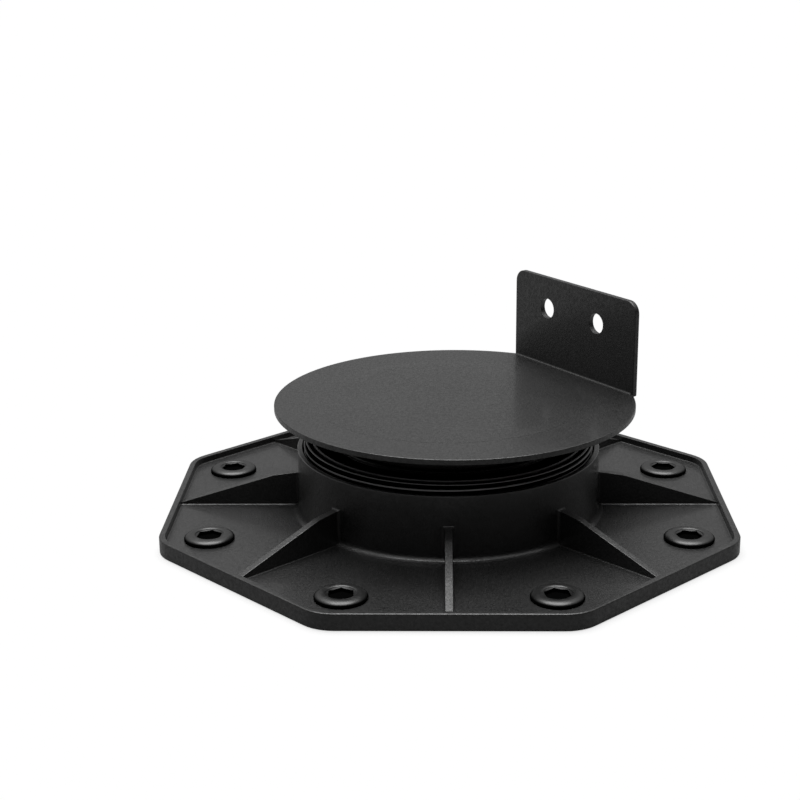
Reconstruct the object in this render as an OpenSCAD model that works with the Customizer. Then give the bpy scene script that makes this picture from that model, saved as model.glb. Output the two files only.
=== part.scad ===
// Adjustable decking pedestal: an octagonal foot with a threaded collar, a screw sleeve that
// sets the height, and a swivelling head plate with an upright tab that a joist is fixed to.
// Millimetres, +Z up, origin on the ground at the middle of the foot.

/* [Foot] */
// Width of the octagonal foot across its flats
foot_w = 200; // [180:1:240]
// Radius of the foot's eight corners
foot_corner_r = 14; // [4:0.5:25]
// Thickness of the foot's floor
floor_t = 3.5; // [2.8:0.1:5]
// Height of the rim that runs round the foot
rim_h = 6; // [5.5:0.1:9]
// Thickness of that rim
rim_t = 2.2; // [1.5:0.1:4]
// Width of the ledge left round the drain opening, under the sleeve
ledge_w = 12.4; // [6:0.1:14]
// Thickness of that ledge
ledge_t = 2.5; // [2:0.1:2.8]

/* [Collar] */
// Height of the collar's top above the ground
collar_h = 26.9; // [22:0.1:27]
// Wall of the collar
collar_wall = 1.9; // [1.5:0.1:4]
// Radius of the fillet round the collar's foot
collar_fillet_r = 2.5; // [1:0.1:4]
// Lead-in chamfer at the mouth of the bore
mouth_chamfer = 0.6; // [0.3:0.1:1.2]
// Gap between the bore and the crests of the sleeve's thread
thread_gap = 0.4; // [0.3:0.05:0.8]
// Number of ribs between collar and rim, one to each flat
rib_count = 8; // [4, 8]
// Thickness of a rib
rib_t = 2.6; // [1.5:0.1:4]
// Height of a rib above the ground where it meets the collar
rib_h = 16; // [13:0.1:20]
// Distance from the collar to the bend in a rib's top
rib_bend_w = 8.9; // [4:0.1:14]
// Height of a rib above the ground at that bend
rib_bend_h = 14.9; // [10:0.1:18]
// Height of a rib above the ground where it meets the rim
rib_end_h = 4.3; // [4:0.1:5.4]

/* [Fixing screws] */
// Number of fixing screws, one to each corner
screw_count = 8; // [4, 8]
// Distance from a corner's outer edge to the screw in it
screw_inset = 17.4; // [16:0.1:24]
// Diameter of a screw's button head
screw_head_d = 17.5; // [14:0.1:19]
// Height of that head
screw_head_h = 2.5; // [2:0.1:4]
// Diameter of the screw's shank
screw_shank_d = 10; // [6:0.1:11]
// Gap round the shank in its hole
screw_gap = 0.5; // [0.2:0.05:0.8]
// Width of the hexagon socket across its flats
socket_w = 8; // [5:0.1:9]
// Depth of the socket
socket_depth = 1.9; // [1.2:0.1:2.4]

/* [Threaded sleeve] */
// Diameter of the sleeve over its thread crests
sleeve_d = 104; // [98:0.5:112]
// Length of the sleeve
sleeve_l = 13.6; // [12:0.1:15]
// Wall of the sleeve under the thread
sleeve_wall = 3; // [2:0.1:4.5]
// Pitch of the thread
thread_pitch = 2; // [1.6:0.1:3]
// Depth of the thread
thread_depth = 1.4; // [0.8:0.1:1.8]
// Width of the bevel round the sleeve's top edge
top_bevel_w = 2; // [1:0.1:3]
// Drop of that bevel
top_bevel_h = 0.7; // [0.4:0.1:1.5]
// Thickness of the inward flange that the head stands on
flange_t = 4; // [3:0.1:5]

/* [Head] */
// Height of the head plate's bearing face above the ground, as set
rest_h = 43.6; // [42:0.1:48]
// Diameter of the head plate
plate_d = 129; // [120:0.1:150]
// Thickness of the head plate at its edge
plate_t = 2; // [1.6:0.1:4]
// Distance that the plate's centre lies off the axis of the sleeve
plate_offset = 2.3; // [0:0.1:3]
// Diameter of the raised bearing face
bearing_d = 96; // [80:0.5:100]
// Height that the bearing face stands above the plate
bearing_h = 0.2; // [0.1:0.05:0.5]
// Height of the neck between sleeve and plate
neck_h = 11; // [9:0.1:12]
// Wall of the neck
neck_wall = 3; // [2:0.1:3.4]
// Diameter of the spigot that turns in the sleeve's flange
spigot_d = 73; // [64:0.5:76]
// Width of the shoulder between spigot and neck
shoulder_w = 3.5; // [2.5:0.1:5]
// Gap round the spigot, and under the shoulder
turn_gap = 0.3; // [0.2:0.05:0.5]

/* [Retaining ring] */
// Thickness of the snap ring under the sleeve's flange
ring_t = 1.6; // [1.2:0.1:2]
// Distance that the ring stands out of the spigot
ring_reach = 3; // [2:0.1:4]
// Depth of the groove that the ring snaps into
groove_depth = 1.2; // [0.8:0.1:1.6]
// Gap between the ring and its groove
ring_gap = 0.15; // [0.1:0.05:0.3]
// Width of the split in the ring
ring_split = 12; // [6:0.5:20]

/* [Tab] */
// Width of the tab
tab_w = 68; // [50:0.5:72]
// Height of the tab above the plate
tab_h = 34; // [28:0.5:50]
// Thickness of the tab
tab_t = 2; // [1.6:0.1:4]
// Radius of the tab's two upper corners
tab_corner_r = 4.5; // [2:0.5:9]
// Direction that the tab faces away from, anticlockwise from +X
tab_angle = 35.8; // [0:0.1:90]
// Distance from the plate's centre to the tab's inner face
tab_set = 54.7; // [51:0.1:56]
// Radius of the fillet along the tab's foot
tab_fillet_r = 1.2; // [0.5:0.1:2.5]
// Diameter of the two fixing holes in the tab
tab_hole_d = 7.6; // [5:0.1:9]
// Distance between those holes
tab_hole_pitch = 28; // [20:0.5:36]
// Distance that the pair of holes is shifted from the middle of the tab
tab_hole_shift = 1; // [0:0.5:6]
// Height of the holes above the plate
tab_hole_h = 22; // [15:0.5:26]

/* [Hidden] */
$fn = 96;

// Radii about the pedestal's axis
sleeve_r = sleeve_d / 2;
root_r = sleeve_r - thread_depth;
sleeve_in_r = root_r - sleeve_wall;
bore_r = sleeve_r + thread_gap;
collar_r = bore_r + collar_wall;
drain_r = bore_r - ledge_w;
spigot_r = spigot_d / 2;
neck_r = spigot_r + shoulder_w;
flange_r = spigot_r + turn_gap;
groove_r = spigot_r - groove_depth;

// Heights above the ground, as set
plate_top_z = rest_h - bearing_h;
plate_z = plate_top_z - plate_t;
sleeve_top_z = plate_z + bearing_h - neck_h;
shoulder_z = sleeve_top_z + turn_gap;
flange_z = sleeve_top_z - flange_t;
ring_top_z = flange_z - ring_gap;
ring_z = ring_top_z - ring_t;
spigot_end_z = ring_z - ring_gap - neck_wall;

// Thread form: crest width, root width and the drop of a flank, all along the axis
crest_w = 0.25 * thread_pitch;
ridge_w = 0.8 * thread_pitch;
lip_r = sleeve_r - thread_depth / 2;
first_crest = top_bevel_h + 0.4 * thread_pitch + ridge_w / 2;
crest_count = floor((sleeve_l - first_crest - ridge_w / 2) / thread_pitch) + 1;

// Corners of the foot and the circle that the screws stand on
corner_turn = 45;
corner_steps = 6;
corner_apex_r = (foot_w / 2 - foot_corner_r) / cos(corner_turn / 2) + foot_corner_r;
screw_r = corner_apex_r - screw_inset;
screw_hole_r = screw_shank_d / 2 + screw_gap;
rim_in = foot_w / 2 - rim_t;

// Small allowances: how far joined shapes run into each other, how far cuts run past, how far a fillet
// dips under the faces it joins, and how far one of two nearly level faces stays back
sink = 0.5;
past = 1;
dip = 0.02;
shy = 0.1;
arc_steps = 8;

plastic = [0.07, 0.07, 0.072];
thread_black = [0.09, 0.09, 0.092];
screw_black = [0.05, 0.05, 0.052];

// Points along an arc round centre c
function arc(c, r, from, to, steps = arc_steps) =
    [for (s = [0 : steps]) let (a = from + (to - from) * s / steps) c + r * [cos(a), sin(a)]];

// Outline of a regular octagon with rounded corners, flats to +X and +Y
function octagon(w, r) = [
    for (k = [0 : 7])
        let (mid = corner_turn * (k + 0.5), out = (w / 2 - r) / cos(corner_turn / 2))
            each arc(out * [cos(mid), sin(mid)], r, corner_turn * k, corner_turn * (k + 1), corner_steps)
];

// Copies of a shape turned to equal places round the axis
module around(count, start = 0) {
    for (k = [0 : count - 1])
        rotate(start + 360 * k / count) children();
}

// Tray of the foot: floor and rim
module tray() {
    inner_corner_r = max(foot_corner_r - rim_t, sink);
    difference() {
        linear_extrude(rim_h) polygon(octagon(foot_w, foot_corner_r));
        translate([0, 0, floor_t])
            linear_extrude(rim_h) polygon(octagon(foot_w - 2 * rim_t, inner_corner_r));
    }
}

// Collar with the fillet round its foot, still solid
module collar_body() {
    fillet_z = floor_t + collar_fillet_r - dip;
    fillet = arc([collar_r + collar_fillet_r, fillet_z], collar_fillet_r, 270, 180);
    rotate_extrude()
        polygon(concat(
            [[0, sink], [collar_r + collar_fillet_r, sink]],
            fillet,
            [[collar_r, collar_h], [0, collar_h]]
        ));
}

// Rib from the collar down to the rim, along +X: nearly level at first, then sloping to its low end
module rib() {
    in_end = collar_r - collar_wall / 2;
    out_end = foot_w / 2 - rim_t / 2;
    rotate([90, 0, 0])
        linear_extrude(rib_t, center = true)
            polygon([
                [in_end, floor_t / 2], [out_end, floor_t / 2], [out_end, rib_end_h],
                [rim_in, rib_end_h], [collar_r + rib_bend_w, rib_bend_h],
                [collar_r, rib_h], [in_end, rib_h]
            ]);
}

// Bore for the sleeve, with its lead-in, and the drain opening below
module collar_bore() {
    rotate_extrude()
        polygon([
            [0, -past], [drain_r, -past], [drain_r, ledge_t], [bore_r, ledge_t],
            [bore_r, collar_h - mouth_chamfer], [bore_r + mouth_chamfer + past, collar_h + past],
            [0, collar_h + past]
        ]);
}

module base_foot() {
    color(plastic)
        difference() {
            union() {
                tray();
                collar_body();
                around(rib_count) rib();
            }
            collar_bore();
            around(screw_count, corner_turn / 2)
                translate([screw_r, 0, -past]) cylinder(r = screw_hole_r, h = floor_t + 2 * past);
        }
}

// Button-head screw standing on the floor, its shank ending flush with the underside
module screw(turn) {
    edge_h = screw_head_h / 6;
    flat_r = socket_w / 2 / cos(30) + 0.6;
    dome_r = screw_head_d / 2 - flat_r;
    dome_h = screw_head_h - edge_h;
    dome = [for (s = [0 : arc_steps]) let (a = 90 * s / arc_steps)
        [flat_r + dome_r * cos(a), floor_t + edge_h + dome_h * sin(a)]];
    shank_r = screw_shank_d / 2;
    tip = screw_gap;
    difference() {
        rotate_extrude()
            polygon(concat(
                [[0, 0], [shank_r - tip, 0], [shank_r, tip], [shank_r, floor_t]],
                [[screw_head_d / 2, floor_t]],
                dome,
                [[0, floor_t + screw_head_h]]
            ));
        translate([0, 0, floor_t + screw_head_h - socket_depth])
            rotate(turn) cylinder(d = socket_w / cos(30), h = socket_depth + past, $fn = 6);
    }
}

module fixing_screws() {
    // Each screw was driven to its own stop, so the sockets point different ways
    turn_step = 23;
    color(screw_black)
        for (k = [0 : screw_count - 1])
            rotate(corner_turn / 2 + 360 * k / screw_count)
                translate([screw_r, 0, 0]) screw(turn_step * k);
}

// Sleeve with level crests in place of the helix of its thread
module threaded_sleeve() {
    bottom_z = sleeve_top_z - sleeve_l;
    lip_z = sleeve_top_z - top_bevel_h;
    ridges = [
        for (i = [0 : crest_count - 1])
            let (z = sleeve_top_z - first_crest - i * thread_pitch)
                each [
                    [root_r, z + ridge_w / 2], [sleeve_r, z + crest_w / 2],
                    [sleeve_r, z - crest_w / 2], [root_r, z - ridge_w / 2]
                ]
    ];
    color(thread_black)
        rotate_extrude()
            polygon(concat(
                [[flange_r, sleeve_top_z], [lip_r - top_bevel_w, sleeve_top_z], [lip_r, lip_z]],
                [[lip_r, lip_z - crest_w / 2], [root_r, lip_z - crest_w]],
                ridges,
                [[root_r, bottom_z], [sleeve_in_r, bottom_z]],
                [[sleeve_in_r, flange_z], [flange_r, flange_z]]
            ));
}

// Split snap ring in the spigot's groove, just under the sleeve's flange
module retaining_ring() {
    in_r = groove_r + ring_gap;
    out_r = spigot_r + ring_reach;
    color(plastic)
        difference() {
            translate([0, 0, ring_z]) cylinder(r = out_r, h = ring_t);
            translate([0, 0, ring_z - past]) cylinder(r = in_r, h = ring_t + 2 * past);
            translate([-out_r - past, -ring_split / 2, ring_z - past])
                cube([out_r + past, ring_split, ring_t + 2 * past]);
        }
}

// Hollow neck with its shoulder, spigot and ring groove, open below
module neck() {
    in_r = spigot_r - neck_wall - groove_depth / 2;
    wide_in_r = neck_r - neck_wall;
    step_z = shoulder_z + neck_wall;
    rotate_extrude()
        polygon([
            [wide_in_r, plate_z + sink], [wide_in_r, step_z], [in_r, step_z], [in_r, spigot_end_z],
            [spigot_r, spigot_end_z],
            [spigot_r, ring_z - ring_gap], [groove_r, ring_z - ring_gap],
            [groove_r, ring_top_z + ring_gap], [spigot_r, ring_top_z + ring_gap],
            [spigot_r, shoulder_z], [neck_r, shoulder_z], [neck_r, plate_z + sink]
        ]);
}

// Outline of the tab: width along X from its middle, height along Y from the plate's underside
function tab_outline() =
    let (top = tab_h + plate_t, side = tab_w / 2, r = tab_corner_r)
        concat(
            [[-side, plate_t / 2], [side, plate_t / 2]],
            arc([side - r, top - r], r, 0, 90),
            arc([r - side, top - r], r, 90, 180)
        );

// Sets a shape at the tab's foot: X outwards, Y along the tab, Z up from the plate's underside
module at_tab() {
    translate([plate_offset, 0, plate_z])
        rotate(tab_angle)
            translate([tab_set, 0, 0]) children();
}

module tab() {
    half_chord = sqrt(pow(plate_d / 2, 2) - pow(tab_set, 2));
    fillet_l = 2 * (min(half_chord, tab_w / 2) - past);
    at_tab() {
        rotate([90, 0, 90]) linear_extrude(tab_t) polygon(tab_outline());
        translate([0, 0, plate_t]) rotate([90, 0, 180])
            linear_extrude(fillet_l, center = true)
                difference() {
                    translate([-sink, -sink]) square(tab_fillet_r - dip + sink);
                    translate((tab_fillet_r - dip) * [1, 1]) circle(tab_fillet_r);
                }
    }
}

module tab_holes() {
    at_tab()
        for (side = [-1, 1])
            translate([-past, tab_hole_shift + side * tab_hole_pitch / 2, plate_t + tab_hole_h])
                rotate([0, 90, 0]) cylinder(d = tab_hole_d, h = tab_t + 2 * past);
}

// Disc of the plate, cut straight along the back of the tab
module plate() {
    back = tab_set + tab_t - shy;
    translate([plate_offset, 0, plate_z])
        difference() {
            cylinder(d = plate_d, h = plate_t);
            rotate(tab_angle)
                translate([back, -plate_d / 2, -past]) cube([plate_d, plate_d, plate_t + 2 * past]);
        }
}

module head_plate() {
    color(plastic)
        difference() {
            union() {
                plate();
                translate([0, 0, plate_z + sink]) cylinder(d = bearing_d, h = plate_t + bearing_h - sink);
                neck();
                tab();
            }
            tab_holes();
        }
}

base_foot();
fixing_screws();
threaded_sleeve();
retaining_ring();
head_plate();
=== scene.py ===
"""Looks of an adjustable decking pedestal: a moulded black foot with eight ribs and eight screws, a
screw sleeve, a snap ring and a disc head with an upright tab, on a white studio floor."""
import math

import bmesh
import bpy
from mathutils import Matrix, Vector


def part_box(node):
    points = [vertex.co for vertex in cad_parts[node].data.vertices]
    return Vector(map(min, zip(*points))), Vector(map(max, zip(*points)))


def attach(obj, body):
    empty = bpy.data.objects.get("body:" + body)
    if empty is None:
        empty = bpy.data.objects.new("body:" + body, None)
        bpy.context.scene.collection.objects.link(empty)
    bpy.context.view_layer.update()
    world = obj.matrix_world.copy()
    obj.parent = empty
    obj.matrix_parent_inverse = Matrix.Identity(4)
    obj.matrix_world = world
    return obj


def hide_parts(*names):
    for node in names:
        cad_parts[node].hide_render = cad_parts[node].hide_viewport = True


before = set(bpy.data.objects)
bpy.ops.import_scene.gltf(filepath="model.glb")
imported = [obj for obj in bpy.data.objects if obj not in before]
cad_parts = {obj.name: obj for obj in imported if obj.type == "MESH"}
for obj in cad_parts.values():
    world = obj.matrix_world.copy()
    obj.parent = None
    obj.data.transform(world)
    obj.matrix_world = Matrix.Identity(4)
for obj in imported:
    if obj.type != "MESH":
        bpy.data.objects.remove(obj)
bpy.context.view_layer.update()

# Shapes are worked out in millimetres and scaled when a mesh is made
MM = 0.001


def extents(node):
    """Lowest and highest corner of a node, in millimetres."""
    low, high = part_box(node)
    return low / MM, high / MM


foot_high = extents("base_foot")[1]
screws_high = extents("fixing_screws")[1]
sleeve_low, sleeve_high = extents("threaded_sleeve")
ring_low, ring_high = extents("retaining_ring")
head_low, head_high = extents("head_plate")

# Small allowances: soft edge of a moulding, sink of joined shapes, run past a face, hair's breadth
EDGE = 0.3
SINK = 0.5
PAST = 1.0
HAIR = 0.02

# Foot
SIDES = 8
HALF_SIDE = math.pi / SIDES
FOOT_REACH = foot_high.x
CORNER_R = 14.0
FLOOR_Z = 3.5
RIM_Z = 6.0
RIM_T = 2.2
RIM_IN = FOOT_REACH - RIM_T
RIM_EDGE = 0.5
LEDGE_Z = 2.5
DRAIN_R = 40.0

# Collar and ribs
COLLAR_Z = foot_high.z
BORE_R = 52.4
COLLAR_R = 54.3
MOUTH = 0.3
COLLAR_FILLET = 2.4
RIB_T = 2.6
RIB_Z = 16.0
RIB_LEVEL = 8.9
RIB_BEND_R = COLLAR_R + RIB_LEVEL
RIB_BEND_Z = 14.9
RIB_END_Z = 4.3
RIB_EDGE = 0.2
RIB_FOOT = 0.5
RIB_FLARE = 1.1

# Screws
SCREW_R = 89.69
SCREW_HOLE_R = 5.5
SHANK_R = 5.0
SCREW_HEAD_R = 8.75
SCREW_SUNK = 0.4
SCREW_TOP = screws_high.z - FLOOR_Z - SCREW_SUNK
SOCKET_W = 8.0
SOCKET_DEPTH = 1.9
TURN_STEP = math.radians(23)

# Sleeve
PITCH = 2.0
CREST_R = sleeve_high.x
THREAD_DEPTH = 1.4
ROOT_R = CREST_R - THREAD_DEPTH
SLEEVE_TOP = sleeve_high.z
SLEEVE_END = sleeve_low.z
SLEEVE_IN_R = 47.6
FLANGE_R = 36.8
FLANGE_T = 4.0
FLANGE_Z = SLEEVE_TOP - FLANGE_T
LIP_R = CREST_R - THREAD_DEPTH / 2
LIP_DROP = 0.7
LIP_Z = SLEEVE_TOP - LIP_DROP
LIP_T = 0.35
LIP_FOOT_Z = LIP_Z - 2 * LIP_T
RIDGE_STEP = 2.0
TOP_RIDGE_R = LIP_R - RIDGE_STEP
RIDGE_T = 0.6
TOP_GROOVE = 1.2
SEAT_R = 41.6
FRONT_CREST_Z = 28.0

# Snap ring
RING_IN_R = 35.45
RING_OUT_R = ring_high.x
RING_SPLIT = 12.0

# Head
PLATE_R = 64.5
PLATE_OFF = 2.3
PLATE_TOP = 43.4
PLATE_Z = 41.4
BEARING_R = 48.0
BEARING_Z = 43.6
BEARING_SLOPE = 4.0
NECK_R = 40.0
NECK_WALL = 3.0
SPIGOT_R = 36.5
SPIGOT_IN_R = 32.9
SPIGOT_END = head_low.z
SHOULDER_GAP = 0.3
SHOULDER_Z = SLEEVE_TOP + SHOULDER_GAP
GROOVE_R = 35.3
GROOVE_GAP = 0.15

# Tab
TAB_TURN = math.radians(35.8)
TAB_SET = 54.7
TAB_T = 2.0
TAB_HALF = 34.0
TAB_TOP = head_high.z
TAB_LOW = (PLATE_Z + PLATE_TOP) / 2
TAB_CORNER_R = 4.5
TAB_EDGE = 0.35
TAB_FILLET = 0.7
BACK_STEP = 0.1
PLATE_BACK = TAB_SET + TAB_T - BACK_STEP
HOLE_R = 3.8
HOLE_LIP = 0.12
HOLE_PLACES = (15.0, -13.0)
HOLE_RISE = 22.0
HOLE_Z = PLATE_TOP + HOLE_RISE


def polar(r, turn, z=0.0):
    return Vector((r * math.cos(turn), r * math.sin(turn), z))


def arc_between(start, end, centre, steps):
    """Points from start round centre to end, both included."""
    a, b = start - centre, end - centre
    whole = a.angle(b)
    shares = [i / steps for i in range(steps + 1)]
    return [
        centre + (a * math.sin(whole * (1 - s)) + b * math.sin(whole * s)) / math.sin(whole)
        for s in shares
    ]


def rounded(corners, steps=4):
    """Closed outline through corners (x, y, radius), each rounded by its own radius."""
    points = []
    for i, (x, y, radius) in enumerate(corners):
        here = Vector((x, y))
        if radius == 0:
            points.append(here)
            continue
        back = (Vector(corners[i - 1][:2]) - here).normalized()
        on = (Vector(corners[(i + 1) % len(corners)][:2]) - here).normalized()
        half = back.angle(on) / 2
        reach = radius / math.tan(half)
        centre = here + (back + on).normalized() * (radius / math.sin(half))
        points += arc_between(here + back * reach, here + on * reach, centre, steps)
    return points


class Skin:
    """Points and faces of one mesh, in millimetres."""

    def __init__(self):
        self.points = []
        self.faces = []

    def ring(self, points):
        first = len(self.points)
        self.points += points
        return list(range(first, len(self.points)))

    def bridge(self, a, b):
        """Quads between two closed rings of the same length."""
        for i in range(len(a)):
            self.faces.append((a[i - 1], a[i], b[i], b[i - 1]))

    def tube(self, rings, closed=False):
        """Rings joined one to the next: closed into a loop, or with a face on both ends."""
        made = [self.ring(points) for points in rings]
        for a, b in zip(made, made[1:]):
            self.bridge(a, b)
        if closed:
            self.bridge(made[-1], made[0])
        else:
            self.faces += [tuple(reversed(made[0])), tuple(made[-1])]

    def build(self, name):
        mesh = bpy.data.meshes.new(name)
        mesh.from_pydata([p * MM for p in self.points], [], self.faces)
        work = bmesh.new()
        work.from_mesh(mesh)
        weld = HAIR * MM / 100
        bmesh.ops.remove_doubles(work, verts=work.verts, dist=weld)
        bmesh.ops.dissolve_degenerate(work, edges=work.edges, dist=weld)
        bmesh.ops.recalc_face_normals(work, faces=work.faces)
        work.to_mesh(mesh)
        work.free()
        piece = bpy.data.objects.new(name, mesh)
        bpy.context.scene.collection.objects.link(piece)
        return piece


def combine(body, tool, operation):
    """Joins or cuts two closed pieces; the tool is used up."""
    change = body.modifiers.new("combine", "BOOLEAN")
    change.operation = operation
    change.solver = "EXACT"
    change.object = tool
    graph = bpy.context.evaluated_depsgraph_get()
    shape = bpy.data.meshes.new_from_object(body.evaluated_get(graph))
    body.modifiers.clear()
    body.data = shape
    bpy.data.objects.remove(tool)


def lathe(profile, columns):
    """Rings of a profile (r, z) turned about the axis."""
    turns = [2 * math.pi * i / columns for i in range(columns)]
    return [[polar(p.x, turn, p.y) for turn in turns] for p in profile]


# Foot: one moulding with floor, rim, collar, ribs and screw holes
FLAT_STEPS = 11
CORNER_STEPS = 6
SPAN_STEPS = 4
EDGE_STEPS = 5
SCREW_HOLE_COLUMNS = 48


def octagon_ring(reach, z):
    """Rounded octagon with that distance to its flats, its corners round the same centres."""
    corner_r = CORNER_R - (FOOT_REACH - reach)
    flat_end = (reach - corner_r) * math.tan(HALF_SIDE)
    eighth = [Vector((reach, flat_end * i / FLAT_STEPS)) for i in range(FLAT_STEPS)]
    for i in range(CORNER_STEPS + 1):
        turn = 2 * HALF_SIDE * i / CORNER_STEPS
        eighth.append(Vector((reach - corner_r, flat_end)) + polar(corner_r, turn).xy)
    turned = Matrix.Rotation(HALF_SIDE, 2)
    mirror = turned @ Matrix(((1, 0), (0, -1))) @ turned.inverted()
    far = [mirror @ p for p in reversed(eighth[1:FLAT_STEPS])]
    return [
        (Matrix.Rotation(2 * HALF_SIDE * k, 2) @ p).to_3d() + Vector((0, 0, z))
        for k in range(SIDES)
        for p in eighth + far
    ]


COLUMN_TURNS = [math.atan2(p.y, p.x) for p in octagon_ring(FOOT_REACH, 0)]


def foot_ring(point):
    """Ring of the foot at a profile point: octagonal along the rim, round along the collar."""
    if point.x > (COLLAR_R + RIM_IN) / 2:
        return octagon_ring(point.x, point.y)
    return [polar(point.x, turn, point.y) for turn in COLUMN_TURNS]


def foot_shell():
    """Floor, rim and collar in one skin."""
    profile = rounded([
        (DRAIN_R, 0, EDGE), (DRAIN_R, LEDGE_Z, EDGE), (BORE_R, LEDGE_Z, EDGE),
        (BORE_R, COLLAR_Z - MOUTH, EDGE / 2), (BORE_R + MOUTH, COLLAR_Z, EDGE / 2),
        (COLLAR_R, COLLAR_Z, EDGE), (COLLAR_R, FLOOR_Z, COLLAR_FILLET),
        (RIM_IN, FLOOR_Z, RIB_FOOT), (RIM_IN, RIM_Z, EDGE),
        (FOOT_REACH, RIM_Z, RIM_EDGE), (FOOT_REACH, 0, 2 * EDGE),
    ], steps=EDGE_STEPS)
    rings = []
    for before, point in zip([profile[-1]] + profile, profile):
        near, far = foot_ring(before), foot_ring(point)
        wide = abs(point.x - before.x) > (RIM_IN - COLLAR_R) / 2
        if wide:
            for i in range(1, SPAN_STEPS):
                rings.append([a.lerp(b, i / SPAN_STEPS) for a, b in zip(near, far)])
        rings.append(far)
    skin = Skin()
    skin.tube(rings, closed=True)
    return skin.build("foot")


def flare(distance):
    """Widening of a rib at that distance from the collar's wall."""
    if distance <= 0:
        return RIB_FLARE
    if distance >= RIB_FLARE:
        return 0.0
    return RIB_FLARE - math.sqrt(RIB_FLARE ** 2 - (RIB_FLARE - distance) ** 2)


def rib_top(x):
    """Height of a rib's top: nearly level by the collar, then sloping down to the rim."""
    if x < RIB_BEND_R:
        share = (RIB_BEND_R - max(x, COLLAR_R)) / (RIB_BEND_R - COLLAR_R)
        return RIB_BEND_Z + (RIB_Z - RIB_BEND_Z) * share
    share = (RIM_IN - min(x, RIM_IN)) / (RIM_IN - RIB_BEND_R)
    return RIB_END_Z + (RIB_BEND_Z - RIB_END_Z) * share


def rib_section(x):
    """Cross-section of a rib: flared foot, upright sides and soft top edges."""
    foot_steps, edge_steps = 4, 3
    spread = flare(x - COLLAR_R)
    half = RIB_T / 2 + spread
    top = rib_top(x) + spread / 2
    centre = Vector((half + RIB_FOOT, FLOOR_Z - HAIR + RIB_FOOT))
    right = [Vector((half + RIB_FOOT, FLOOR_Z - PAST))]
    right += arc_between(
        centre - Vector((0, RIB_FOOT)), centre - Vector((RIB_FOOT, 0)), centre, foot_steps)
    right += arc_between(
        Vector((half, top - RIB_EDGE)), Vector((half - RIB_EDGE, top)),
        Vector((half - RIB_EDGE, top - RIB_EDGE)), edge_steps)
    left = [Vector((-p.x, p.y)) for p in reversed(right)]
    return [Vector((x, p.x, p.y)) for p in right + left]


def ribs():
    """Eight ribs from the collar down to the rim, one to each flat."""
    flare_steps = 6
    turns = [math.pi / 2 * i / flare_steps for i in range(flare_steps + 1)]
    stations = [COLLAR_R - PAST]
    stations += [COLLAR_R + RIB_FLARE * (1 - math.cos(turn)) for turn in turns]
    stations += [RIB_BEND_R - PAST, RIB_BEND_R, RIB_BEND_R + PAST, RIM_IN, RIM_IN + PAST]
    skin = Skin()
    for k in range(SIDES):
        place = Matrix.Rotation(2 * HALF_SIDE * k, 3, "Z")
        skin.tube([[place @ p for p in rib_section(x)] for x in stations])
    return skin.build("ribs")


def corner_turn(k):
    """Direction of a corner of the foot, where a screw stands."""
    return HALF_SIDE * (2 * k + 1)


def screw_holes():
    profile = [Vector((SCREW_HOLE_R, -PAST)), Vector((SCREW_HOLE_R, FLOOR_Z + PAST))]
    rings = lathe(profile, SCREW_HOLE_COLUMNS)
    skin = Skin()
    for k in range(SIDES):
        centre = polar(SCREW_R, corner_turn(k))
        skin.tube([[centre + p for p in ring] for ring in rings])
    return skin.build("screw_holes")


def base_foot():
    foot = foot_shell()
    combine(foot, ribs(), "UNION")
    combine(foot, screw_holes(), "DIFFERENCE")
    return foot


# Screws: rounded heads with a hexagon socket, each driven to its own stop
SCREW_COLUMNS = 72


def hexagon_r(turn):
    """Distance to the wall of the socket in that direction."""
    sixth = math.pi / 3
    return SOCKET_W / 2 / math.cos((turn + sixth / 2) % sixth - sixth / 2)


def screw_rings():
    """Rings of one screw from the tip of its shank over the head and down into the socket."""
    crest_r, bulge_z = 5.8, 0.5
    mouth_r, mouth_drop, mouth_slope = 4.75, 0.45, 0.3
    dome_steps, mouth_steps = 14, 6
    low_turn = -math.asin(bulge_z / (SCREW_TOP - bulge_z))
    outline = [(SHANK_R - SINK, -FLOOR_Z), (SHANK_R, SINK - FLOOR_Z), (SHANK_R, 0)]
    for i in range(dome_steps + 1):
        turn = low_turn + (math.pi / 2 - low_turn) * i / dome_steps
        outline.append((
            crest_r + (SCREW_HEAD_R - crest_r) * math.cos(turn),
            bulge_z + (SCREW_TOP - bulge_z) * math.sin(turn),
        ))
    for i in range(1, mouth_steps + 1):
        turn = math.pi / 2 * i / mouth_steps
        outline.append((
            crest_r - (crest_r - mouth_r) * math.sin(turn),
            SCREW_TOP - mouth_drop * (1 - math.cos(turn)),
        ))
    rings = lathe([Vector((r, FLOOR_Z + z)) for r, z in outline], SCREW_COLUMNS)
    turns = [2 * math.pi * i / SCREW_COLUMNS for i in range(SCREW_COLUMNS)]
    floor_z = FLOOR_Z + SCREW_TOP - SOCKET_DEPTH
    walls = [hexagon_r(turn) for turn in turns]
    lips = [FLOOR_Z + SCREW_TOP - mouth_drop - (mouth_r - r) * mouth_slope for r in walls]
    rings.append([polar(r, turn, z) for r, turn, z in zip(walls, turns, lips)])
    rings.append([polar(r, turn, floor_z) for r, turn in zip(walls, turns)])
    rings.append([polar(r / 2, turn, floor_z - EDGE / 2) for r, turn in zip(walls, turns)])
    return rings


def fixing_screws():
    skin = Skin()
    rings = screw_rings()
    for k in range(SIDES):
        place = polar(SCREW_R, corner_turn(k))
        turn = Matrix.Rotation(corner_turn(k) + TURN_STEP * k, 3, "Z")
        skin.tube([[place + turn @ p for p in ring] for ring in rings])
    return skin.build("screws")


# Sleeve: a true right-hand thread outside, plain inside
SLEEVE_COLUMNS = 240


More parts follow.
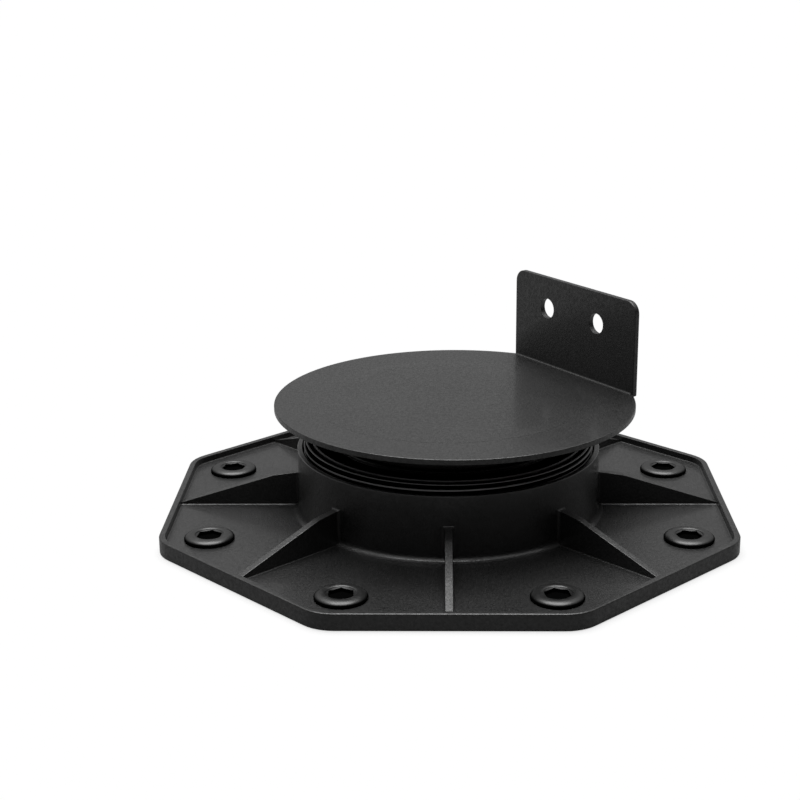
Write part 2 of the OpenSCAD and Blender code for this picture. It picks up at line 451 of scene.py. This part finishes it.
def thread_rows():
    """Heights along one pitch from the middle of a crest, each with its share of the depth."""
    crest, shoulder, shoulder_share = 0.22, 0.3, 0.95
    upper_root, lower_root, root_share = 0.45, 0.9, 0.05
    rows = [(-crest, 1.0), (0.0, 1.0), (crest, 1.0)]
    rows += [(shoulder, shoulder_share), (upper_root, root_share), (upper_root + crest, 0.0)]
    rows += [(PITCH - lower_root, 0.0), (PITCH - shoulder, shoulder_share)]
    return rows


def sleeve_r(z, depth):
    """Radius of the thread at a height; it runs out under the lip and at the sleeve's lower end."""
    run_out = 1.5
    thread = ROOT_R + THREAD_DEPTH * depth
    top = ROOT_R + (LIP_FOOT_Z - z) * run_out
    end = ROOT_R - EDGE + (z - SLEEVE_END) * run_out
    return min(thread, top, end)


def threaded_sleeve():
    front = -math.pi / 2
    first = math.floor((SLEEVE_END - FRONT_CREST_Z) / PITCH) - 1
    last = math.ceil((LIP_FOOT_Z - FRONT_CREST_Z) / PITCH) + 1
    rows = [(lap, rise, depth) for lap in range(first, last + 1) for rise, depth in thread_rows()]
    soft, low = RIDGE_T / 4, SLEEVE_TOP - TOP_GROOVE
    level = rounded([
        (ROOT_R, LIP_FOOT_Z, 0), (LIP_R, LIP_Z - LIP_T, soft / 2), (LIP_R, LIP_Z, soft),
        (LIP_R - RIDGE_T, LIP_Z, soft), (LIP_R - RIDGE_T, low, 0), (TOP_RIDGE_R, low, 0),
        (TOP_RIDGE_R, SLEEVE_TOP, soft), (TOP_RIDGE_R - RIDGE_T, SLEEVE_TOP, soft),
        (TOP_RIDGE_R - RIDGE_T, low, EDGE), (SEAT_R, low, EDGE), (SEAT_R - soft, SLEEVE_TOP, soft),
        (FLANGE_R, SLEEVE_TOP, EDGE), (FLANGE_R, FLANGE_Z, EDGE),
        (SLEEVE_IN_R, FLANGE_Z, PAST), (SLEEVE_IN_R, SLEEVE_END, EDGE), (ROOT_R, SLEEVE_END, 0),
    ])[1:-1]
    skin = Skin()
    columns = []
    for i in range(SLEEVE_COLUMNS):
        share = i / SLEEVE_COLUMNS
        turn = front + 2 * math.pi * share
        column = []
        for lap, rise, depth in rows:
            z = FRONT_CREST_Z + PITCH * (lap + share) + rise
            z = min(max(z, SLEEVE_END), LIP_FOOT_Z)
            column.append(polar(sleeve_r(z, depth), turn, z))
        columns.append(skin.ring(column + [polar(p.x, turn, p.y) for p in level]))
    # Where a turn closes, the thread goes on one pitch higher
    for i, here in enumerate(columns):
        there = columns[(i + 1) % SLEEVE_COLUMNS]
        closes = i + 1 == SLEEVE_COLUMNS
        if closes:
            pitch_on = there[len(thread_rows()):len(rows)]
            there = pitch_on + [there[len(rows) - 1]] * len(thread_rows()) + there[len(rows):]
        skin.bridge(here, there)
    return skin.build("sleeve")


# Snap ring: split on one side
def retaining_ring():
    section = rounded([
        (RING_IN_R, ring_low.z, EDGE), (RING_OUT_R, ring_low.z, EDGE),
        (RING_OUT_R, ring_high.z, EDGE), (RING_IN_R, ring_high.z, EDGE),
    ])
    steps = 96
    gap = math.asin(RING_SPLIT / 2 / RING_OUT_R)
    turns = [gap - math.pi + 2 * (math.pi - gap) * i / steps for i in range(steps + 1)]
    skin = Skin()
    skin.tube([[polar(p.x, turn, p.y) for p in section] for turn in turns])
    return skin.build("snap_ring")


# Head: disc, bearing face, neck and tab in one moulding
PLATE_STEPS = 180
CHORD_STEPS = 12
NECK_COLUMNS = 144
TAB_HOLE_COLUMNS = 56


def plate_ring(inset, z):
    """Outline of the disc drawn in by an inset: an arc, cut straight along the back of the tab."""
    centre = Vector((PLATE_OFF, 0, z))
    r, back = PLATE_R - inset, PLATE_BACK - inset
    corner = math.acos(back / r)
    points = []
    for i in range(PLATE_STEPS + 1):
        turn = corner + 2 * (math.pi - corner) * i / PLATE_STEPS
        points.append(centre + polar(r, TAB_TURN + turn))
    chord = r * math.sin(corner)
    for i in range(1, CHORD_STEPS):
        along = chord * (2 * i / CHORD_STEPS - 1)
        points.append(centre + Matrix.Rotation(TAB_TURN, 3, "Z") @ Vector((back, along, 0)))
    return points


def plate_disc():
    inner = 8.0
    edge = rounded([
        (inner, PLATE_Z, 0), (0, PLATE_Z, EDGE), (0, PLATE_TOP, EDGE), (inner, PLATE_TOP, 0)])
    skin = Skin()
    skin.tube([plate_ring(p.x, p.y) for p in edge])
    return skin.build("head")


def bearing_face():
    """Faintly raised round face that the joist lies on."""
    profile = [
        Vector((BEARING_R, PLATE_TOP - SINK)), Vector((BEARING_R, PLATE_TOP + HAIR)),
        Vector((BEARING_R - BEARING_SLOPE, BEARING_Z)), Vector((NECK_R, BEARING_Z)),
    ]
    skin = Skin()
    skin.tube(lathe(profile, NECK_COLUMNS))
    return skin.build("bearing_face")


def neck():
    """Hollow neck with its shoulder, spigot and the groove of the snap ring."""
    wide_in_r = NECK_R - NECK_WALL
    step_z = SHOULDER_Z + NECK_WALL
    groove_low, groove_top = ring_low.z - GROOVE_GAP, ring_high.z + GROOVE_GAP
    profile = rounded([
        (wide_in_r, PLATE_Z + SINK, 0), (wide_in_r, step_z, EDGE), (SPIGOT_IN_R, step_z, EDGE),
        (SPIGOT_IN_R, SPIGOT_END, EDGE), (SPIGOT_R, SPIGOT_END, EDGE),
        (SPIGOT_R, groove_low, EDGE / 2), (GROOVE_R, groove_low, EDGE / 2),
        (GROOVE_R, groove_top, EDGE / 2), (SPIGOT_R, groove_top, EDGE / 2),
        (SPIGOT_R, SHOULDER_Z, EDGE / 2), (NECK_R, SHOULDER_Z, EDGE), (NECK_R, PLATE_Z + SINK, 0),
    ])
    skin = Skin()
    skin.tube(lathe(profile, NECK_COLUMNS), closed=True)
    return skin.build("neck")


def at_tab(out, along, z):
    """Place by distance out from the disc's centre towards the tab, along the tab, and height."""
    return Vector((PLATE_OFF, 0, z)) + Matrix.Rotation(TAB_TURN, 3, "Z") @ Vector((out, along, 0))


def tab_plate():
    """Upright plate with two round upper corners and soft edges."""
    faces = rounded([
        (TAB_SET, TAB_HALF / 2, 0), (TAB_SET, 0, TAB_EDGE),
        (TAB_SET + TAB_T, 0, TAB_EDGE), (TAB_SET + TAB_T, TAB_HALF / 2, 0),
    ])
    foot_r = 2 * TAB_EDGE
    corner_steps = 8
    rings = []
    for out, inset in faces[1:-1]:
        half, low, top = TAB_HALF - inset, TAB_LOW + inset, TAB_TOP - inset
        outline = rounded([
            (-half, low, foot_r - inset), (half, low, foot_r - inset),
            (half, top, TAB_CORNER_R - inset), (-half, top, TAB_CORNER_R - inset),
        ], steps=corner_steps)
        rings.append([at_tab(out, p.x, p.y) for p in outline])
    skin = Skin()
    skin.tube(rings)
    return skin.build("tab")


def tab_foot():
    """Fillet along the foot of the tab."""
    fillet_steps = 6
    wall, floor = TAB_SET + HAIR, PLATE_TOP - HAIR
    half_chord = math.sqrt(PLATE_R ** 2 - TAB_SET ** 2)
    end = min(half_chord, TAB_HALF) - PAST
    section = [Vector((wall + SINK, floor - SINK)), Vector((wall - TAB_FILLET, floor - SINK))]
    section += arc_between(
        Vector((wall - TAB_FILLET, floor)), Vector((wall, floor + TAB_FILLET)),
        Vector((wall - TAB_FILLET, floor + TAB_FILLET)), fillet_steps)
    section.append(Vector((wall + SINK, floor + TAB_FILLET)))
    skin = Skin()
    skin.tube([[at_tab(p.x, along, p.y) for p in section] for along in (-end, end)])
    return skin.build("tab_foot")


def tab_holes():
    """Cutters for the two holes, flared where they meet the faces of the tab."""
    near, far = TAB_SET - HAIR, TAB_SET + TAB_T + HAIR
    wide, lip, lip_steps = HOLE_R + HOLE_LIP, HOLE_LIP, 3
    profile = [Vector((wide, near - PAST))]
    profile += arc_between(
        Vector((wide, near)), Vector((HOLE_R, near + lip)), Vector((wide, near + lip)), lip_steps)
    profile += arc_between(
        Vector((HOLE_R, far - lip)), Vector((wide, far)), Vector((wide, far - lip)), lip_steps)
    profile.append(Vector((wide, far + PAST)))
    rings = lathe(profile, TAB_HOLE_COLUMNS)
    skin = Skin()
    for place in HOLE_PLACES:
        skin.tube([[at_tab(p.z, place + p.x, HOLE_Z + p.y) for p in ring] for ring in rings])
    return skin.build("tab_holes")


def head_plate():
    head = plate_disc()
    for made in (bearing_face, neck, tab_plate, tab_foot):
        combine(head, made(), "UNION")
    combine(head, tab_holes(), "DIFFERENCE")
    return head


# Finishes: levels of black, gloss of the plastic and its skin, depth of the grain, and the painted shade
# of recesses
PLASTIC_DARK = 0.0015
PLASTIC_LIGHT = 0.005
PLASTIC_ROUGHNESS = 0.455
PLASTIC_GLOSS = 0.58
PLASTIC_SKIN = 0.5
SKIN_ROUGHNESS = 0.18
PLASTIC_GRAIN = 0.2
FINE_GRAIN = 0.02
THREAD_DARK = 0.008
THREAD_LIGHT = 0.016
STEEL_DARK = 0.012
STEEL_LIGHT = 0.022
# Painted shade: near-black colour and rough finish put in recesses where shade falls
PAINTED_SHADE_DARK = 0.001
PAINTED_SHADE_LIGHT = 0.003
PAINTED_SHADE_ROUGHNESS = 0.95


def grey(level):
    return (level, level, level, 1.0)


class Wire:
    """A socket of a node tree; maths on it adds Math nodes."""

    def __init__(self, mixture, socket):
        self.mixture = mixture
        self.socket = socket

    def maths(self, operation, *values):
        return self.mixture.add("ShaderNodeMath", {"operation": operation}, dict(enumerate(values)))

    def __add__(self, other):
        return self.maths("ADD", self, other)

    def __radd__(self, other):
        return self.maths("ADD", other, self)

    def __sub__(self, other):
        return self.maths("SUBTRACT", self, other)

    def __rsub__(self, other):
        return self.maths("SUBTRACT", other, self)

    def __mul__(self, other):
        return self.maths("MULTIPLY", self, other)

    def __rmul__(self, other):
        return self.maths("MULTIPLY", other, self)


class Mixture:
    """Nodes of a material or of the world."""

    def __init__(self, owner):
        owner.use_nodes = True
        self.tree = owner.node_tree
        self.tree.nodes.clear()

    def add(self, kind, settings=None, inputs=None, out=0):
        """Adds a node, sets it, fills or links its sockets and gives one of its outputs."""
        node = self.tree.nodes.new(kind)
        for name, value in (settings or {}).items():
            setattr(node, name, value)
        for name, value in (inputs or {}).items():
            if isinstance(value, Wire):
                self.tree.links.new(value.socket, node.inputs[name])
            else:
                node.inputs[name].default_value = value
        return Wire(self, node.outputs[out]) if node.outputs else None

    def noise(self, place, per_mm, detail=2.0, roughness=0.5):
        """Even noise from 0 to 1 with so many lumps to a millimetre."""
        return self.add("ShaderNodeTexNoise", None, {
            "Vector": place, "Scale": per_mm / MM, "Detail": detail, "Roughness": roughness})

    def step(self, value, low, high, to_low=0.0, to_high=1.0):
        """Smooth step of a value between two levels."""
        return self.add("ShaderNodeMapRange", {"interpolation_type": "SMOOTHSTEP"}, {
            "Value": value, "From Min": low, "From Max": high, "To Min": to_low, "To Max": to_high})

    def blend(self, share, a, b):
        """Colour between two colours."""
        return self.add("ShaderNodeMix", {"data_type": "RGBA"}, {0: share, 6: a, 7: b}, out=2)

    def along(self, place, axis):
        """One coordinate of a place or direction."""
        return self.add("ShaderNodeSeparateXYZ", None, {"Vector": place}, out=axis)

    def bump(self, height, depth, strength):
        """Normals of a relief so many millimetres deep."""
        return self.add("ShaderNodeBump", None, {
            "Strength": strength, "Distance": depth * MM, "Height": height})

    def rays(self):
        """Masks of the rays from the camera, off a glossy face and through a clear one."""
        kinds = ("Is Camera Ray", "Is Glossy Ray", "Is Transmission Ray")
        return [self.add("ShaderNodeLightPath", out=kind) for kind in kinds]

    def painted_shade_black(self, grain):
        """Painted shade: a near-black, rough surface without reflection, put on recesses where shade
        falls.
        """
        return self.add("ShaderNodeBsdfPrincipled", None, {
            "Base Color": self.blend(grain, grey(PAINTED_SHADE_DARK), grey(PAINTED_SHADE_LIGHT)),
            "Roughness": PAINTED_SHADE_ROUGHNESS, "Specular IOR Level": 0.0})


def moulded_finish(name, rubbed_z):
    """Black moulded plastic: fine spark-eroded grain, faint flow clouds and a few dull specks; what
    stands above a height is rubbed smooth."""
    material = bpy.data.materials.new(name)
    mix = Mixture(material)
    place = mix.add("ShaderNodeTexCoord", out="Object")
    grain = mix.noise(place, per_mm=1.1, detail=3.0, roughness=0.6)
    pits = mix.noise(place, per_mm=4.5, detail=1.0)
    glints = mix.step(mix.noise(place, per_mm=0.9, detail=2.0, roughness=0.6), 0.3, 0.7)
    clouds = mix.noise(place, per_mm=0.035, detail=3.0)
    specks = mix.step(mix.noise(place, per_mm=0.8, detail=1.0), 0.68, 0.74)
    rubbed = mix.step(mix.along(place, "Z"), (rubbed_z - EDGE) * MM, rubbed_z * MM)
    shade = mix.step(0.55 * clouds + 0.45 * grain, 0.3, 0.7)
    colour = mix.blend(shade, grey(PLASTIC_DARK), grey(PLASTIC_LIGHT))
    shader = mix.add("ShaderNodeBsdfPrincipled", None, {
        "Base Color": mix.blend(0.35 * specks, colour, grey(2 * PLASTIC_LIGHT)),
        "Roughness": PLASTIC_ROUGHNESS + 0.35 * (grain - 0.5) + 0.14 * (clouds - 0.5) + 0.1 * specks,
        "Specular IOR Level": PLASTIC_GLOSS,
        "Coat Weight": PLASTIC_SKIN * (0.45 + 1.1 * glints) * (1 - rubbed) + rubbed,
        "Coat Roughness": SKIN_ROUGHNESS,
        "Normal": mix.bump(0.75 * grain + 0.25 * pits, PLASTIC_GRAIN, strength=1.0),
    })
    mix.add("ShaderNodeOutputMaterial", None, {"Surface": shader})
    return material


def thread_finish(name):
    """Smooth black thread: polished crests and ridges, painted shade in the roots and grooves."""
    flank_r, crest_r = CREST_R - 0.45 * THREAD_DEPTH, CREST_R - 0.1 * THREAD_DEPTH
    groove_z, ridge_z = SLEEVE_TOP - 0.9 * TOP_GROOVE, LIP_Z - LIP_T / 2
    material = bpy.data.materials.new(name)
    mix = Mixture(material)
    place = mix.add("ShaderNodeTexCoord", out="Object")
    grain = mix.noise(place, per_mm=2.0, detail=2.0)
    scuffs = mix.step(mix.noise(place, per_mm=0.25, detail=4.0, roughness=0.65), 0.5, 0.7)
    level = mix.add("ShaderNodeVectorMath", {"operation": "MULTIPLY"}, {0: place, 1: (1, 1, 0)})
    radius = mix.add("ShaderNodeVectorMath", {"operation": "LENGTH"}, {0: level}, out="Value")
    # Crests, found by radius, and ridges, found by height, keep the plastic; everything else gets
    # painted shade
    crest = mix.step(radius, flank_r * MM, crest_r * MM)
    ridge = mix.step(mix.along(place, "Z"), groove_z * MM, ridge_z * MM)
    outside_painted_shade = crest.maths("MAXIMUM", crest, ridge)
    polished = mix.add("ShaderNodeBsdfPrincipled", None, {
        "Base Color": mix.blend(scuffs, grey(THREAD_DARK), grey(THREAD_LIGHT)),
        "Roughness": 0.3 + 0.08 * scuffs + 0.06 * (grain - 0.5),
        "Specular IOR Level": 1.0,
        "IOR": 2.0,
        "Normal": mix.bump(grain, FINE_GRAIN, strength=0.3),
    })
    # Painted shade wherever the crest and ridge mask is off
    surface = mix.add("ShaderNodeMixShader", None, {
        0: outside_painted_shade, 1: mix.painted_shade_black(grain), 2: polished})
    mix.add("ShaderNodeOutputMaterial", None, {"Surface": surface})
    return material


def blackened_steel(name):
    """Semi-gloss black screw: rubbed spots on its dome, painted shade in the socket and under the head's
    edge.
    """
    painted_shade_full_z, painted_shade_end_z = FLOOR_Z + 1.0, FLOOR_Z + 1.7
    material = bpy.data.materials.new(name)
    mix = Mixture(material)
    place = mix.add("ShaderNodeTexCoord", out="Object")
    grain = mix.noise(place, per_mm=2.6, detail=2.0)
    rubs = mix.step(mix.noise(place, per_mm=0.35, detail=4.0, roughness=0.65), 0.5, 0.72)
    # Painted shade low down: full below the first height, fading out by the second
    outside_painted_shade = mix.step(mix.along(place, "Z"), painted_shade_full_z * MM, painted_shade_end_z * MM)
    rubbed = mix.add("ShaderNodeBsdfPrincipled", None, {
        "Base Color": mix.blend(rubs, grey(STEEL_DARK), grey(STEEL_LIGHT)),
        "Roughness": 0.33 + 0.1 * rubs + 0.08 * (grain - 0.5),
        "Specular IOR Level": 0.65,
        "Normal": mix.bump(grain, FINE_GRAIN, strength=0.35),
    })
    surface = mix.add("ShaderNodeMixShader", None, {
        0: outside_painted_shade, 1: mix.painted_shade_black(grain), 2: rubbed})
    mix.add("ShaderNodeOutputMaterial", None, {"Surface": surface})
    return material


def dress(piece, node, body, finish):
    """Gives a piece its finish and even normals, and sets it in the frame for its node."""
    sharp = math.radians(32)
    piece.data.materials.clear()
    piece.data.materials.append(finish)
    piece.data.shade_smooth()
    piece.data.set_sharp_from_angle(angle=sharp)
    normals = piece.modifiers.new("even_normals", "WEIGHTED_NORMAL")
    normals.keep_sharp = True
    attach(piece, body)
    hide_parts(node)


# Studio: floor and surroundings white to the camera, light from overhead
AIR_LEVEL = 0.03
BACK_SHINE = 0.33
TOP_SHINE = 1.0
RIGHT_SHARE = 0.8
FRONT_SHINE = 0.0
BACK_TURN = 0.4
TOP_FROM = 0.45
TOP_FULL = 0.8
SIDE_TURN = 0.6
FLOOR_GLOW = 0.755
FLOOR_SHINE = 0.15
FLOOR_SHADE = 0.23
FLOOR_DROP = 0.2
FLOOR_REACH = 4000.0
KEY_LEVEL = 3.3
KEY_SPREAD = math.radians(50)
KEY_TILT = (math.radians(-4), math.radians(-2), 0)


def studio_air():
    """White to the camera; in reflections paler behind and overhead than in front; dim as a light."""
    world = bpy.data.worlds.new("studio_air")
    bpy.context.scene.world = world
    mix = Mixture(world)
    seen, mirrored, passed = mix.rays()
    direction = mix.add("ShaderNodeTexCoord", out="Generated")
    level = mix.step(mix.along(direction, "Y"), -BACK_TURN, BACK_TURN, FRONT_SHINE, BACK_SHINE)
    above = mix.step(mix.along(direction, "Z"), TOP_FROM, TOP_FULL)
    shine = level * (1 - above) + TOP_SHINE * above
    shine = shine * mix.step(mix.along(direction, "X"), -SIDE_TURN, SIDE_TURN, 1.0, RIGHT_SHARE)
    lit = 1 - seen - mirrored - passed
    strength = seen + (mirrored + passed) * shine + lit * AIR_LEVEL
    sky = mix.add("ShaderNodeBackground", None, {"Color": strength, "Strength": 1.0})
    mix.add("ShaderNodeOutputWorld", None, {"Surface": sky})


def studio_floor():
    """White floor: its shade takes the shadow, and a glow lifts it to white for the camera."""
    signs = ((-1, -1), (1, -1), (1, 1), (-1, 1))
    corners = [Vector((x * FLOOR_REACH, y * FLOOR_REACH, -FLOOR_DROP)) for x, y in signs]
    skin = Skin()
    skin.faces.append(tuple(skin.ring(corners)))
    floor = skin.build("studio_floor")
    material = bpy.data.materials.new("white_floor")
    mix = Mixture(material)
    seen, mirrored, passed = mix.rays()
    shade = mix.add("ShaderNodeBsdfDiffuse", None, {"Color": grey(FLOOR_SHADE)})
    place = mix.add("ShaderNodeTexCoord", out="Object")
    depth = mix.along(place, "Y")
    shine = mix.step(depth, -FOOT_REACH * MM, FOOT_REACH * MM, FRONT_SHINE, FLOOR_SHINE)
    glow = mix.add("ShaderNodeEmission", None, {
        "Color": (seen + passed) * FLOOR_GLOW + mirrored * shine, "Strength": 1.0})
    both = mix.add("ShaderNodeAddShader", None, {0: shade, 1: glow})
    mix.add("ShaderNodeOutputMaterial", None, {"Surface": both})
    floor.data.materials.append(material)


def studio_light():
    """Soft key light overhead, a little from behind and from the left."""
    lamp = bpy.data.lights.new("overhead", "SUN")
    lamp.energy = KEY_LEVEL
    lamp.angle = KEY_SPREAD
    light = bpy.data.objects.new("overhead", lamp)
    light.rotation_euler = KEY_TILT
    bpy.context.scene.collection.objects.link(light)


# Camera, as it stood for the photograph
CAMERA_PLACE = Vector((-2.1, -550.857, 218.396))
CAMERA_DOWN = math.radians(17.649)
CAMERA_PAN = math.radians(1.567)
CAMERA_ROLL = math.radians(-0.588)
CAMERA_LENS = 72.513
SENSOR = 36.0


def studio_camera():
    lens = bpy.data.cameras.new("photo_view")
    lens.lens = CAMERA_LENS
    lens.sensor_width = SENSOR
    camera = bpy.data.objects.new("photo_view", lens)
    aim = Matrix.Rotation(CAMERA_PAN, 3, "Z") @ Matrix.Rotation(math.pi / 2 - CAMERA_DOWN, 3, "X")
    turn = (aim @ Matrix.Rotation(CAMERA_ROLL, 3, "Z")).to_4x4()
    camera.matrix_world = Matrix.Translation(CAMERA_PLACE * MM) @ turn
    bpy.context.scene.collection.objects.link(camera)
    bpy.context.scene.camera = camera


bpy.context.scene.view_settings.view_transform = "Standard"
studio_camera()
studio_air()
studio_floor()
studio_light()

foot_black = moulded_finish("foot_black", rubbed_z=COLLAR_Z - EDGE)
head_black = moulded_finish("head_black", rubbed_z=TAB_TOP + PAST)
thread_black = thread_finish("thread_black")
screw_black = blackened_steel("screw_black")

dress(base_foot(), "base_foot", "base", foot_black)
dress(fixing_screws(), "fixing_screws", "base", screw_black)
dress(threaded_sleeve(), "threaded_sleeve", "sleeve", thread_black)
# The snap ring takes the thread's finish; it lies inside the crests and below the ridges, so it is all
# painted shade
dress(retaining_ring(), "retaining_ring", "ring", thread_black)
dress(head_plate(), "head_plate", "head", head_black)
